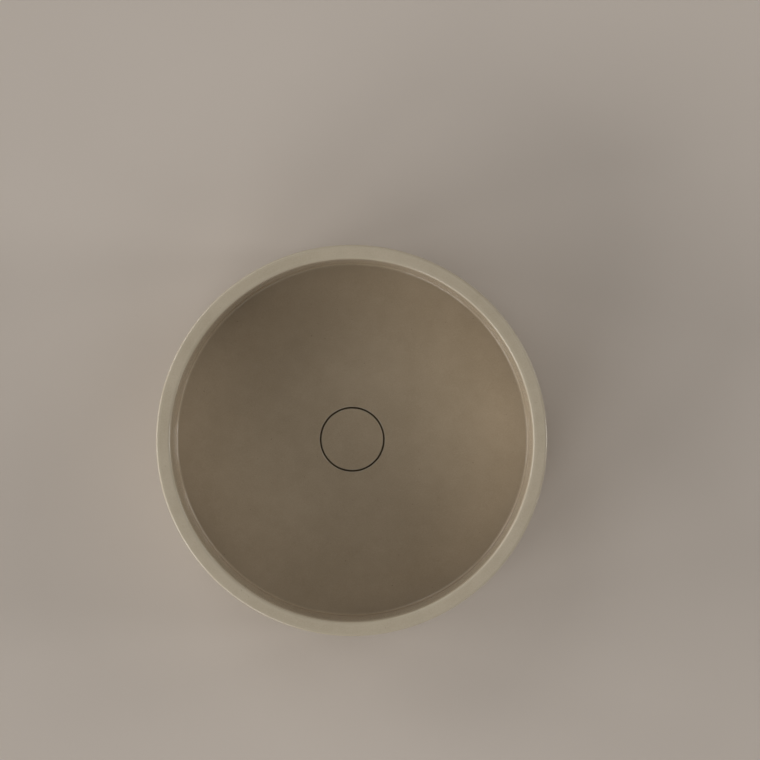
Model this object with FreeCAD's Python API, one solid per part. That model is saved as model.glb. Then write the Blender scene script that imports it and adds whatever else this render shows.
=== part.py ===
"""Round concrete vessel basin with a flush press-to-open waste.

Millimetres. The axis is Z, Z = 0 is the plane that the basin stands on, and the waste hangs below it.
Every piece is written at rest: the drain cover is shut and flush with the basin floor.
"""
import FreeCAD, Part
import math
import os

from FreeCAD import Vector

# Bowl, cast in concrete
rim_radius = 200.0
bowl_height = 150.0
rim_wall = 14.5
wall_draft = 1.2
rim_inner_round = 1.8
rim_outer_round = 1.8
floor_height = 38.0
floor_fall = 4.0
floor_corner_round = 3.0
base_edge_round = 6.0
foot_width = 28.0
base_relief = 3.0
drain_web = 10.0

# Drain cover, cast in the same concrete, and the metal plate bonded under it
cover_radius = 32.3
cover_thickness = 6.0
cover_gap = 1.2
cover_edge_round = 0.5
carrier_setback = 3.0
carrier_thickness = 1.5
carrier_boss_wall = 2.6
carrier_boss_height = 6.5
carrier_boss_roof = 0.8
seal_setback = 1.3
seal_width = 6.0
seal_height = 2.4
seal_step = 1.0
seal_lip = 0.8

# Travel of the cover and its plunger
lift_travel = 10.0
press_travel = 1.0

# Outlet, from the tube outwards to the thread of the waste body
spigot_radius = 16.0
spigot_wall = 1.6
spigot_length = 50.0
spigot_thread_wall = 2.2
spigot_thread_length = 9.5
spigot_collar_step = 3.0
spigot_collar_height = 3.0
spigot_collar_gap = 0.3
socket_wall = 4.3
thread_clearance = 0.055

# Waste body
tail_wall = 3.4
flange_clearance = 2.0
flange_thickness = 2.4
throat_chamfer = 1.6
bridge_thickness = 5.0
bridge_boss_wall = 3.0
bridge_arms = 3
bridge_arm_width = 4.0
shoulder_thickness = 3.0
thread_spare = 12.5

# Rings and nut that clamp the waste to the basin
hole_clearance = 2.5
flange_gasket_thickness = 1.6
flange_gasket_setback = 0.5
ring_clearance = 0.3
clamp_ring_width = 11.0
tapered_gasket_thickness = 4.0
tapered_nose_height = 3.0
tapered_nose_gap = 0.3
slip_washer_thickness = 1.5
back_nut_height = 8.0
back_nut_wall = 5.0
nut_chamfer = 1.0
spanner_room = 10.0

# Plunger and press cartridge
stem_radius = 4.0
running_clearance = 0.05
plunger_collar_step = 1.5
plunger_collar_height = 2.0
head_gap = 0.3
snap_wire_radius = 0.5
piston_step = 2.9
piston_height = 4.0
piston_clearance = 0.1
pilot_radius = 2.4
pilot_reach = 1.5
stem_gap = 0.5
bush_head_height = 2.0
bush_spigot_length = 6.0
stem_ring_radius = 0.75
barrel_wall = 2.0
barrel_collar_step = 2.0
barrel_collar_height = 2.5
barrel_neck = 1.9
lock_nut_height = 4.0
lock_nut_wall = 3.0
stop_gap = 0.2
rotor_gap = 0.3
rotor_height = 5.0
rotor_tooth_count = 8
rotor_tooth_height = 1.2
rotor_tooth_root = 0.3
end_plug_spigot = 3.0
end_plug_head = 1.5

# Return spring at its shut length
spring_length = 16.0
spring_turns = 6
spring_wire_radius = 0.6
spring_side_gap = 0.4

# Face seal of the tailpiece
tail_ring_radius = 0.9

# Levels of the bowl, and of the waste stacked down from the floor
rim_level = bowl_height
drain_level = floor_height
wall_foot_level = drain_level + floor_fall
cover_bottom = drain_level - cover_thickness
carrier_bottom = cover_bottom - carrier_thickness
seat_level = carrier_bottom - seal_height
flange_bottom = seat_level - flange_thickness
pocket_level = flange_bottom - flange_gasket_thickness
recess_level = pocket_level - drain_web
gasket_bottom = recess_level - tapered_gasket_thickness
washer_bottom = gasket_bottom - slip_washer_thickness
nut_bottom = washer_bottom - back_nut_height
body_bottom = nut_bottom - thread_spare

# Levels of the outlet
collar_top = body_bottom - spigot_collar_gap
spigot_top = collar_top + spigot_thread_length
shoulder_bottom = spigot_top + 2 * tail_ring_radius
collar_bottom = collar_top - spigot_collar_height
spigot_bottom = collar_bottom - spigot_length

# Levels of the plunger and the cartridge
boss_bottom = carrier_bottom - carrier_boss_height
boss_roof = carrier_bottom - carrier_boss_roof
head_top = boss_roof - head_gap
plunger_collar_bottom = boss_bottom - plunger_collar_height
bush_top = plunger_collar_bottom - press_travel - stem_gap
barrel_top = bush_top - bush_head_height
bush_bottom = barrel_top - bush_spigot_length
piston_top = bush_bottom - lift_travel - stop_gap
piston_bottom = piston_top - piston_height
rotor_top = piston_bottom - rotor_gap
rotor_bottom = rotor_top - rotor_height
spring_bottom = rotor_bottom - spring_length
barrel_bottom = spring_bottom - end_plug_spigot
bridge_top = barrel_top - barrel_neck - barrel_collar_height
bridge_bottom = bridge_top - bridge_thickness

# Radii, each from the piece that it fits
rim_inner_radius = rim_radius - rim_wall
pocket_radius = cover_radius + cover_gap
carrier_radius = cover_radius - carrier_setback
seal_outer_radius = carrier_radius - seal_setback
seal_inner_radius = seal_outer_radius - seal_width
flange_radius = pocket_radius - flange_clearance
outlet_radius = spigot_radius - spigot_wall
spigot_thread_radius = outlet_radius + spigot_thread_wall
socket_radius = spigot_thread_radius + thread_clearance
tail_radius = socket_radius + socket_wall
waterway_radius = tail_radius - tail_wall
hole_radius = tail_radius + hole_clearance
ring_bore_radius = tail_radius + ring_clearance
clamp_ring_radius = ring_bore_radius + clamp_ring_width
recess_radius = clamp_ring_radius + spanner_room
piston_radius = stem_radius + piston_step
barrel_bore_radius = piston_radius + piston_clearance
barrel_radius = barrel_bore_radius + barrel_wall
bridge_bore_radius = barrel_radius + thread_clearance
bridge_boss_radius = bridge_bore_radius + bridge_boss_wall
boss_bore_radius = stem_radius + running_clearance
carrier_boss_radius = boss_bore_radius + carrier_boss_wall


def rounded_corner(before, corner, after, radius):
    """Arc of the given radius, tangent to both sides of a corner."""
    back = (before - corner).normalize()
    ahead = (after - corner).normalize()
    half_angle = back.getAngle(ahead) / 2
    inwards = (back + ahead).normalize()
    centre = corner + inwards * (radius / math.sin(half_angle))
    reach = radius / math.tan(half_angle)
    return corner + back * reach, centre - inwards * radius, corner + ahead * reach


def outline(corners):
    """Closed wire in the XZ plane from (radius, level) corners, each with an optional rounding."""
    points = [Vector(corner[0], 0, corner[1]) for corner in corners]
    pieces = []
    for index, corner in enumerate(corners):
        radius = corner[2] if len(corner) > 2 else 0
        before = points[index - 1]
        after = points[(index + 1) % len(points)]
        if radius:
            pieces.append(rounded_corner(before, points[index], after, radius))
        else:
            pieces.append((points[index],))
    edges = []
    for index, piece in enumerate(pieces):
        if len(piece) == 3:
            edges.append(Part.Arc(*piece).toShape())
        start = piece[-1]
        end = pieces[(index + 1) % len(pieces)][0]
        if start.distanceToPoint(end) > 1e-6:
            edges.append(Part.LineSegment(start, end).toShape())
    return Part.Wire(edges)


def turned(corners):
    """Solid of revolution about Z from an outline of (radius, level[, rounding]) corners."""
    return Part.Face(outline(corners)).revolve(Vector(0, 0, 0), Vector(0, 0, 1), 360)


def ring(inner, outer, bottom, top):
    """Plain turned ring."""
    return turned([(inner, bottom), (outer, bottom), (outer, top), (inner, top)])


def round_ring(middle_radius, wire_radius, level):
    """Ring of round section, such as an O-ring."""
    return Part.makeTorus(middle_radius, wire_radius, Vector(0, 0, level))


def hexagon_nut(bore, flat_radius, bottom, height):
    """Hexagon nut with its corners turned down on both faces."""
    corner_radius = flat_radius / math.cos(math.pi / 6)
    corners = []
    for side in range(7):
        angle = side * math.pi / 3
        corners.append(Vector(corner_radius * math.cos(angle), corner_radius * math.sin(angle), bottom))
    prism = Part.Face(Part.makePolygon(corners)).extrude(Vector(0, 0, height))
    top = bottom + height
    blank = turned([
        (bore, bottom),
        (flat_radius, bottom),
        (corner_radius, bottom + nut_chamfer),
        (corner_radius, top - nut_chamfer),
        (flat_radius, top),
        (bore, top),
    ])
    return prism.common(blank)


def make_bowl():
    """Drum-shaped bowl with a steep inner wall, a floor that falls to the cover's pocket and a foot ring."""
    slope = math.tan(math.radians(wall_draft))
    wall_foot_radius = rim_inner_radius - slope * (rim_level - wall_foot_level)
    base_radius = rim_radius - slope * bowl_height
    return turned([
        (hole_radius, recess_level),
        (hole_radius, pocket_level),
        (pocket_radius, pocket_level),
        (pocket_radius, drain_level, cover_edge_round),
        (wall_foot_radius, wall_foot_level, floor_corner_round),
        (rim_inner_radius, rim_level, rim_inner_round),
        (rim_radius, rim_level, rim_outer_round),
        (base_radius, 0, base_edge_round),
        (base_radius - foot_width, 0),
        (base_radius - foot_width, base_relief),
        (recess_radius, base_relief),
        (recess_radius, recess_level),
    ])


def make_drain_cover():
    """Plain concrete disc with softened edges, flush with the floor."""
    return turned([
        (0, cover_bottom),
        (cover_radius, cover_bottom, cover_edge_round),
        (cover_radius, drain_level, cover_edge_round),
        (0, drain_level),
    ])


def make_cover_carrier():
    """Plate with a step that centres the seal and a hollow boss, grooved inside for the snap ring."""
    step_radius = seal_inner_radius - ring_clearance
    plate = turned([
        (0, boss_roof),
        (boss_bore_radius, boss_roof),
        (boss_bore_radius, boss_bottom),
        (carrier_boss_radius, boss_bottom),
        (carrier_boss_radius, carrier_bottom - seal_step),
        (step_radius, carrier_bottom - seal_step),
        (step_radius, carrier_bottom),
        (carrier_radius, carrier_bottom),
        (carrier_radius, cover_bottom),
        (0, cover_bottom),
    ])
    return plate.cut(snap_groove())


def snap_level():
    """Middle of the plunger's head, where the snap ring sits."""
    return (boss_bottom + head_top) / 2


def snap_groove():
    """Round groove shared by the boss and the plunger's head, a running clearance larger than the ring."""
    return round_ring(stem_radius, snap_wire_radius + running_clearance, snap_level())


def make_snap_ring():
    """Wire ring, half in the boss and half in the plunger's head."""
    return round_ring(stem_radius, snap_wire_radius, snap_level())


def make_plug_seal():
    """Flat rubber ring with a rounded lip that meets the flange."""
    return turned([
        (seal_inner_radius, seat_level + seal_lip),
        (seal_inner_radius + seal_lip, seat_level),
        (seal_outer_radius - seal_lip, seat_level),
        (seal_outer_radius, seat_level + seal_lip),
        (seal_outer_radius, carrier_bottom),
        (seal_inner_radius, carrier_bottom),
    ])


def make_plunger():
    """Stem with its head in the boss, a collar, the piston and the rotor's pilot pin."""
    collar_radius = stem_radius + plunger_collar_step
    stem = turned([
        (0, rotor_bottom - pilot_reach),
        (pilot_radius, rotor_bottom - pilot_reach),
        (pilot_radius, piston_bottom),
        (piston_radius, piston_bottom),
        (piston_radius, piston_top),
        (stem_radius, piston_top),
        (stem_radius, plunger_collar_bottom),
        (collar_radius, plunger_collar_bottom),
        (collar_radius, boss_bottom),
        (stem_radius, boss_bottom),
        (stem_radius, head_top),
        (0, head_top),
    ])
    return stem.cut(snap_groove())


def stem_ring_groove_radius():
    """Outside of the groove for the stem's O-ring."""
    return boss_bore_radius + 2 * stem_ring_radius + running_clearance


def stem_ring_level():
    """Middle of the bush's spigot."""
    return (bush_bottom + barrel_top) / 2


def make_guide_bush():
    """Headed bush in the top of the barrel, with a groove for the stem's O-ring."""
    level = stem_ring_level()
    half_groove = stem_ring_radius + running_clearance
    return turned([
        (boss_bore_radius, bush_bottom),
        (barrel_bore_radius - running_clearance, bush_bottom),
        (barrel_bore_radius - running_clearance, barrel_top),
        (barrel_radius, barrel_top),
        (barrel_radius, bush_top),
        (boss_bore_radius, bush_top),
        (boss_bore_radius, level + half_groove),
        (stem_ring_groove_radius(), level + half_groove),
        (stem_ring_groove_radius(), level - half_groove),
        (boss_bore_radius, level - half_groove),
    ])


def make_stem_o_ring():
    """O-ring that lies round the stem in the bush's groove."""
    return round_ring(boss_bore_radius + stem_ring_radius, stem_ring_radius, stem_ring_level())


def make_cartridge_barrel():
    """Threaded tube with a collar that stands on the bridge."""
    collar_radius = barrel_radius + barrel_collar_step
    return turned([
        (barrel_bore_radius, barrel_bottom),
        (barrel_radius, barrel_bottom),
        (barrel_radius, bridge_top),
        (collar_radius, bridge_top),
        (collar_radius, bridge_top + barrel_collar_height),
        (barrel_radius, bridge_top + barrel_collar_height),
        (barrel_radius, barrel_top),
        (barrel_bore_radius, barrel_top),
    ])


def make_barrel_end_plug():
    """Headed plug that closes the barrel and carries the spring."""
    spigot_radius_in_bore = barrel_bore_radius - running_clearance
    return turned([
        (0, barrel_bottom - end_plug_head),
        (barrel_radius, barrel_bottom - end_plug_head),
        (barrel_radius, barrel_bottom),
        (spigot_radius_in_bore, barrel_bottom),
        (spigot_radius_in_bore, spring_bottom),
        (0, spring_bottom),
    ])


def make_cartridge_lock_nut():
    """Hexagon nut on the barrel, under the bridge."""
    height = lock_nut_height
    return hexagon_nut(bridge_bore_radius, barrel_radius + lock_nut_wall, bridge_bottom - height, height)


def make_index_rotor():
    """Ring on the pilot pin, with ratchet teeth round its upper edge and a plain face for the spring."""
    bore = pilot_radius + running_clearance
    tooth_root = rotor_top - rotor_tooth_height
    tooth_inner_radius = (bore + piston_radius) / 2
    rotor = turned([
        (bore, rotor_bottom),
        (piston_radius, rotor_bottom),
        (piston_radius, tooth_root),
        (tooth_inner_radius, tooth_root),
        (tooth_inner_radius, rotor_top),
        (bore, rotor_top),
    ])
    tooth_face = outline([
        (tooth_inner_radius - rotor_tooth_root, tooth_root),
        (piston_radius, tooth_root),
        (piston_radius, rotor_top),
        (tooth_inner_radius - rotor_tooth_root, rotor_top),
    ])
    pitch = 360 / rotor_tooth_count
    teeth = []
    for tooth in range(rotor_tooth_count):
        solid_tooth = Part.Face(tooth_face).revolve(Vector(0, 0, 0), Vector(0, 0, 1), pitch / 2)
        solid_tooth.rotate(Vector(0, 0, 0), Vector(0, 0, 1), tooth * pitch)
        teeth.append(solid_tooth)
    return rotor.fuse(teeth).removeSplitter()


def helix_point(angle, radius, bottom, rise):
    """Point and unit direction on a helix that climbs rise per radian."""
    point = Vector(radius * math.cos(angle), radius * math.sin(angle), bottom + rise * angle)
    direction = Vector(-radius * math.sin(angle), radius * math.cos(angle), rise).normalize()
    return point, direction


def tangent_arc(start, knee, end):
    """Arc from start to end whose end tangents meet at the knee."""
    chord_middle = (start + end) * 0.5
    half_turn = (knee - start).getAngle(end - knee) / 2
    bulge = math.cos(half_turn) / (1 + math.cos(half_turn))
    return Part.Arc(start, chord_middle + (knee - chord_middle) * bulge, end).toShape()


def helix_wire(radius, bottom, rise, turns):
    """Helix as one biarc for each quarter turn."""
    edges = []
    quarter = math.pi / 2
    for step in range(turns * 4):
        start, leaving = helix_point(step * quarter, radius, bottom, rise)
        end, arriving = helix_point((step + 1) * quarter, radius, bottom, rise)
        chord = end - start
        both = leaving + arriving
        square = both.dot(both) - 4
        straight = chord.dot(both)
        reach = (straight - math.sqrt(straight ** 2 - square * chord.dot(chord))) / square
        first_knee = start + leaving * reach
        last_knee = end - arriving * reach
        middle = (first_knee + last_knee) * 0.5
        edges.append(tangent_arc(start, first_knee, middle))
        edges.append(tangent_arc(middle, last_knee, end))
    return Part.Wire(edges)


def make_return_spring():
    """Coil spring between the end plug and the rotor, with its ends ground flat by half a wire."""
    coil_radius = barrel_bore_radius - spring_side_gap - spring_wire_radius
    rise = spring_length / (2 * math.pi * spring_turns)
    path = helix_wire(coil_radius, spring_bottom, rise, spring_turns)
    start, leaving = helix_point(0, coil_radius, spring_bottom, rise)
    section = Part.Wire(Part.Circle(start, leaving, spring_wire_radius).toShape())
    coil = path.makePipeShell([section], True, False)
    pitch = spring_length / spring_turns
    print("return spring: least gap between turns", round(pitch - 2 * spring_wire_radius, 3), "mm")
    room = ring(0, barrel_bore_radius, spring_bottom, rotor_bottom)
    return coil.common(room)


def make_waste_body():
    """Flanged body with a threaded tail, a socket for the tailpiece and a bridge for the cartridge."""
    shoulder_top = shoulder_bottom + shoulder_thickness
    body = turned([
        (socket_radius, body_bottom),
        (tail_radius, body_bottom),
        (tail_radius, flange_bottom),
        (flange_radius, flange_bottom),
        (flange_radius, seat_level),
        (waterway_radius + throat_chamfer, seat_level),
        (waterway_radius, seat_level - throat_chamfer),
        (waterway_radius, shoulder_top),
        (outlet_radius, shoulder_top),
        (outlet_radius, shoulder_bottom),
        (socket_radius, shoulder_bottom),
    ])
    boss = ring(bridge_bore_radius, bridge_boss_radius, bridge_bottom, bridge_top)
    pieces = [boss]
    tube_middle = (waterway_radius + tail_radius) / 2
    arm_inner = (bridge_bore_radius + bridge_boss_radius) / 2
    for arm in range(bridge_arms):
        bar = Part.makeBox(
            tube_middle - arm_inner,
            bridge_arm_width,
            bridge_thickness,
            Vector(arm_inner, -bridge_arm_width / 2, bridge_bottom),
        )
        bar.rotate(Vector(0, 0, 0), Vector(0, 0, 1), 90 + arm * 360 / bridge_arms)
        pieces.append(bar)
    return body.fuse(pieces).removeSplitter()


def make_flange_gasket():
    """Soft ring between the flange and the floor of the pocket."""
    return ring(ring_bore_radius, flange_radius - flange_gasket_setback, pocket_level, flange_bottom)


def make_tapered_gasket():
    """Rubber ring under the basin, with a tapered nose that centres the tail in the hole."""
    return turned([
        (ring_bore_radius, gasket_bottom),
        (clamp_ring_radius, gasket_bottom),
        (clamp_ring_radius, recess_level),
        (hole_radius - tapered_nose_gap, recess_level),
        (ring_bore_radius + tapered_nose_gap, recess_level + tapered_nose_height),
        (ring_bore_radius, recess_level + tapered_nose_height),
    ])


def make_slip_washer():
    """Thin washer between the rubber and the nut."""
    return ring(ring_bore_radius, clamp_ring_radius, washer_bottom, gasket_bottom)


def make_back_nut():
    """Hexagon nut that pulls the flange down on the basin."""
    bore = tail_radius + thread_clearance
    return hexagon_nut(bore, tail_radius + back_nut_wall, nut_bottom, back_nut_height)


def make_tailpiece():
    """Outlet tube, threaded at its top, with a collar to turn it by."""
    collar_radius = spigot_thread_radius + spigot_collar_step
    return turned([
        (outlet_radius, spigot_bottom),
        (spigot_radius, spigot_bottom),
        (spigot_radius, collar_bottom),
        (collar_radius, collar_bottom),
        (collar_radius, collar_top),
        (spigot_thread_radius, collar_top),
        (spigot_thread_radius, spigot_top),
        (outlet_radius, spigot_top),
    ])


def make_tailpiece_o_ring():
    """O-ring between the top of the tailpiece and the body's shoulder."""
    middle = (outlet_radius + spigot_thread_radius) / 2
    return round_ring(middle, tail_ring_radius, spigot_top + tail_ring_radius)


pieces_by_name = {
    "bowl": make_bowl,
    "drain_cover": make_drain_cover,
    "cover_carrier": make_cover_carrier,
    "plug_seal": make_plug_seal,
    "snap_ring": make_snap_ring,
    "plunger": make_plunger,
    "guide_bush": make_guide_bush,
    "stem_o_ring": make_stem_o_ring,
    "cartridge_barrel": make_cartridge_barrel,
    "index_rotor": make_index_rotor,
    "return_spring": make_return_spring,
    "barrel_end_plug": make_barrel_end_plug,
    "cartridge_lock_nut": make_cartridge_lock_nut,
    "waste_body": make_waste_body,
    "flange_gasket": make_flange_gasket,
    "tapered_gasket": make_tapered_gasket,
    "slip_washer": make_slip_washer,
    "back_nut": make_back_nut,
    "tailpiece": make_tailpiece,
    "tailpiece_o_ring": make_tailpiece_o_ring,
}

os.makedirs("parts", exist_ok=True)
for name, make in pieces_by_name.items():
    solid = make()
    box = solid.BoundBox
    print(name, "valid", solid.isValid(), "solids", len(solid.Solids), "volume", round(solid.Volume, 1))
    print("    radius", round(box.XMax, 3), "levels", round(box.ZMin, 3), round(box.ZMax, 3))
    solid.exportStep("parts/" + name + ".step")
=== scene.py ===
# %% [markdown]
# # A round concrete vessel basin with a flush drain cover
#
# The basin is cast in one piece of fine beige concrete. In its floor lies a small concrete disc, the
# drain cover, which rises when it is pressed. Everything else hangs under the floor: a metal waste
# with its seals, nuts and press cartridge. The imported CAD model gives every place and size, and this
# script dresses it piece by piece.

# %% Load the frame
import math

import bpy
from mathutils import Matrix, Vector


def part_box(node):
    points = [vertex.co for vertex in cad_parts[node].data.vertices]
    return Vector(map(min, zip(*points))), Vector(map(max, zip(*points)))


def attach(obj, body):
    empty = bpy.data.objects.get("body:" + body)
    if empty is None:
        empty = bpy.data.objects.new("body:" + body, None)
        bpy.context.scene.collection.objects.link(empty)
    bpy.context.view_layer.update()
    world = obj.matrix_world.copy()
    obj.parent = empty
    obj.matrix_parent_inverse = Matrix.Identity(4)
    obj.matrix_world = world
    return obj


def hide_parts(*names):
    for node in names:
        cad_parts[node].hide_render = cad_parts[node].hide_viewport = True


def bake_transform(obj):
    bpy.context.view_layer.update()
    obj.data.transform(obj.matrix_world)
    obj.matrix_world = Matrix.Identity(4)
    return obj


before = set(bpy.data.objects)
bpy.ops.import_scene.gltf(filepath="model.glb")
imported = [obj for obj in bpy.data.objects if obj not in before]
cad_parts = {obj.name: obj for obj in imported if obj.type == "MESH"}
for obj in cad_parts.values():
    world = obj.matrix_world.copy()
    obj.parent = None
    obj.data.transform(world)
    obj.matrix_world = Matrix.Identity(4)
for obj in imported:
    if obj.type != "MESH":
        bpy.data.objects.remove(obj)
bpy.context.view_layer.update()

MM = 0.001
scene = bpy.context.scene

# %% [markdown]
# ## The camera
#
# The picture looks straight down from far away, so the walls hardly lean. A long lens above the rim does
# the same. The rim measures 391.8 pixels across and is 400 mm wide, which sets the scale. The basin stands
# left of the middle and below it, so the camera stands to the right and behind the basin's axis.

# %% Place the camera
IMAGE_PIXELS = 760
RIM_PIXELS = 391.8
RIM_CENTRE_PIXEL = (351.2, 440.0)
CAMERA_DISTANCE = 5.5
CAMERA_REACH = 100
SENSOR_WIDTH = 36.0

bowl_low, bowl_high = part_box("bowl")
rim_width = bowl_high.x - bowl_low.x
metres_per_pixel = rim_width / RIM_PIXELS
middle_pixel = (IMAGE_PIXELS - 1) / 2
camera = bpy.data.objects.new("camera", bpy.data.cameras.new("camera"))
camera.location = (
    (middle_pixel - RIM_CENTRE_PIXEL[0]) * metres_per_pixel,
    (RIM_CENTRE_PIXEL[1] - middle_pixel) * metres_per_pixel,
    bowl_high.z + CAMERA_DISTANCE,
)
camera.data.sensor_width = SENSOR_WIDTH
camera.data.lens = SENSOR_WIDTH * CAMERA_DISTANCE / (IMAGE_PIXELS * metres_per_pixel)
camera.data.clip_end = CAMERA_REACH
scene.collection.objects.link(camera)
scene.camera = camera
scene.view_settings.view_transform = "Standard"
print("lens", round(camera.data.lens, 1), "mm, camera at", [round(value, 3) for value in camera.location])

# %% [markdown]
# ## Helpers for nodes and colours
#
# Materials and shapes are both made of nodes. One function adds a node with its settings, and sets or links
# its inputs. Another turns a colour from the hex value that an eye dropper gives into the linear light that
# shaders work in. Every finish starts as an empty material whose patterns lie in the object's own
# coordinates, so that they keep their real size and move with the piece. Many pieces are round, so one helper
# tells how high a point lies and how far it is from the axis.

# %% Node and colour helpers
def set_inputs(tree, node, inputs):
    """Set each input of a node to a value, or link it to another node's socket."""
    for key, value in inputs.items():
        if isinstance(value, bpy.types.NodeSocket):
            tree.links.new(value, node.inputs[key])
        else:
            node.inputs[key].default_value = value


def add_node(tree, kind, settings=None, inputs=None):
    """Add a node, set its properties and fill its inputs."""
    node = tree.nodes.new(kind)
    for key, value in (settings or {}).items():
        setattr(node, key, value)
    set_inputs(tree, node, inputs or {})
    return node


def linear_colour(hex_value):
    """Linear RGBA of an sRGB hex colour."""
    channels = [int(hex_value[start:start + 2], 16) / 255 for start in (1, 3, 5)]
    linear = [c / 12.92 if c <= 0.04045 else ((c + 0.055) / 1.055) ** 2.4 for c in channels]
    return (*linear, 1.0)


def per_metre(millimetres):
    """Texture scale at which one cell of a pattern is this wide, for coordinates in metres."""
    return 1 / (millimetres * MM)


def new_finish(name):
    """An empty material: its tree, its main shader and its Object coordinates."""
    material = bpy.data.materials.new(name)
    material.use_nodes = True
    tree = material.node_tree
    shader = tree.nodes["Principled BSDF"]
    place = add_node(tree, "ShaderNodeTexCoord").outputs["Object"]
    return material, tree, shader, place


def from_axis(tree, place):
    """Level, offset across the axis and distance from the axis of each point."""
    parts = add_node(tree, "ShaderNodeSeparateXYZ", inputs={0: place}).outputs
    flat = add_node(tree, "ShaderNodeCombineXYZ", inputs={0: parts["X"], 1: parts["Y"]}).outputs[0]
    radius = add_node(tree, "ShaderNodeVectorMath", {"operation": "LENGTH"}, {0: flat}).outputs["Value"]
    return parts["Z"], flat, radius


print("white is", linear_colour("#ffffff"))

# %% [markdown]
# ## Cast concrete
#
# The basin is fine-grained concrete, cast against a smooth mould, ground lightly and sealed with a clear
# satin lacquer. To the eye it is a warm grey-beige. The lacquer draws thin bright lines along the small
# roundings and leaves the flat faces calm, so it is a coat over a matt body. The coat follows the same fine
# relief as the body, or it would look like a glaze. Up close there are soft clouds where the cement dried
# unevenly, sand grains and a few pinholes left by air. Edges are a shade paler, because hands and cloths
# polish them. Inside the bowl, painted shade makes the colour warmer and darker towards the floor. More
# painted shade darkens the pocket round the drain cover.

# %% Concrete
CONCRETE_LIGHT, CONCRETE_DARK, CONCRETE_EDGE, PINHOLE_COLOUR = "#bdb19d", "#a59983", "#b5aa95", "#6f6452"
# name, width in millimetres, detail and weight of each layer of the tone
CONCRETE_LAYERS = (("clouds", 85, 3.0, 1.0), ("mottle", 14, 4.0, 0.5), ("sand", 1.1, 2.0, 1.0))
LAYER_ROUGHNESS = 0.6
TONE_RANGE = {"From Min": 0.7, "From Max": 1.8}
# painted shade inside a radius: (tint, radius fade, bottom fade, top fade), in millimetres
PAINTED_SHADE_ZONES = (
    # painted shade in the bowl: warmer and darker, full on the floor and fading out up the wall
    ("#fff8f1", (184, 190), (22, 26), (45, 140)),
    # painted shade in the pocket round the drain cover and on the cover's edge, deepening the gap
    ("#d8c098", (33.9, 34.2), (22, 23), (35.5, 37.4)),
)
RISING, FALLING = {"To Min": 0.0, "To Max": 1.0}, {"To Min": 1.0, "To Max": 0.0}
PINHOLE_CELL_MM, PINHOLE_MM, PINHOLE_DEPTH = 7, 0.8, -4.0
PINHOLE_RANGE = {"From Min": 0.4, "From Max": 1.0, "To Max": PINHOLE_MM / PINHOLE_CELL_MM}
CONCRETE_GLOSS = {"From Min": 0.3, "From Max": 0.7, "To Min": 0.62, "To Max": 0.76}
SAND_RELIEF = {"Strength": 0.35, "Distance": 0.06 * MM}
LACQUER = {"Specular IOR Level": 0.3, "Coat Weight": 1.0, "Coat Roughness": 0.14, "Coat IOR": 1.5}


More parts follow.
